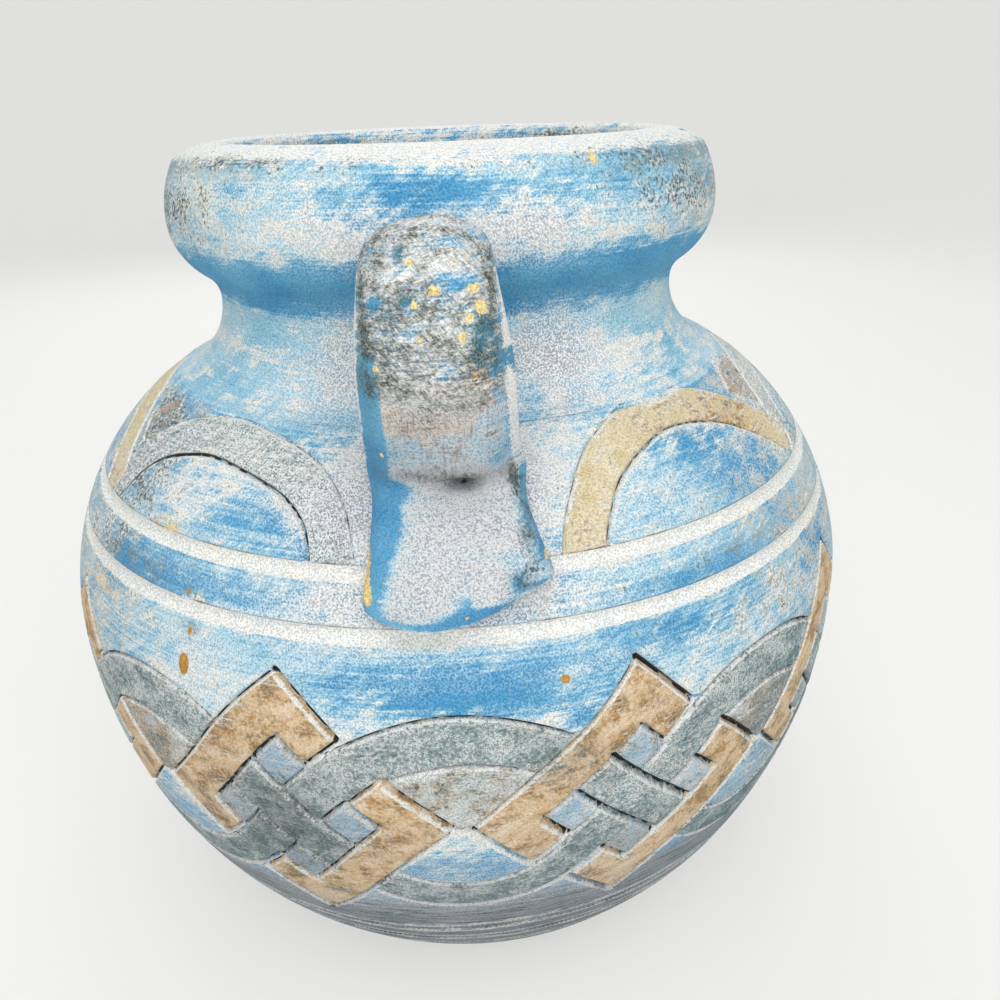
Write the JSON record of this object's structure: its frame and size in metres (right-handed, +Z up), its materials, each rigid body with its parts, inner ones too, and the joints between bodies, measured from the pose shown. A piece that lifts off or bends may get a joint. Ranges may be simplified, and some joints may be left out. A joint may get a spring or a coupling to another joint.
{
  "type": "handled earthenware jar",
  "caption": "Round-bellied earthenware jar with a short neck, heavy rolled collar and upright strap handles with thumb-pressed feet, carved with interlaced bands and painted blue.",
  "frame": {"origin": "centre of the foot's underside, on the surface that the jar stands on", "axes": "+Z up along the turning axis, the front handle on -Y, the rear handle on +Y"},
  "size_m": [0.21, 0.21, 0.2005],
  "materials": {
    "painted_earthenware": "matt slip paint, dry-brushed and rubbed, unglazed",
    "clay_slip": "fired clay slip in the joints"
  },
  "bodies": {
    "root": {"thrown_bowl": "painted_earthenware", "rolled_collar": "painted_earthenware", "front_handle": "painted_earthenware", "rear_handle": "painted_earthenware", "neck_slip": "clay_slip", "front_handle_top_slip": "clay_slip", "front_handle_foot_slip": "clay_slip", "rear_handle_top_slip": "clay_slip", "rear_handle_foot_slip": "clay_slip"}
  },
  "joints": []
}
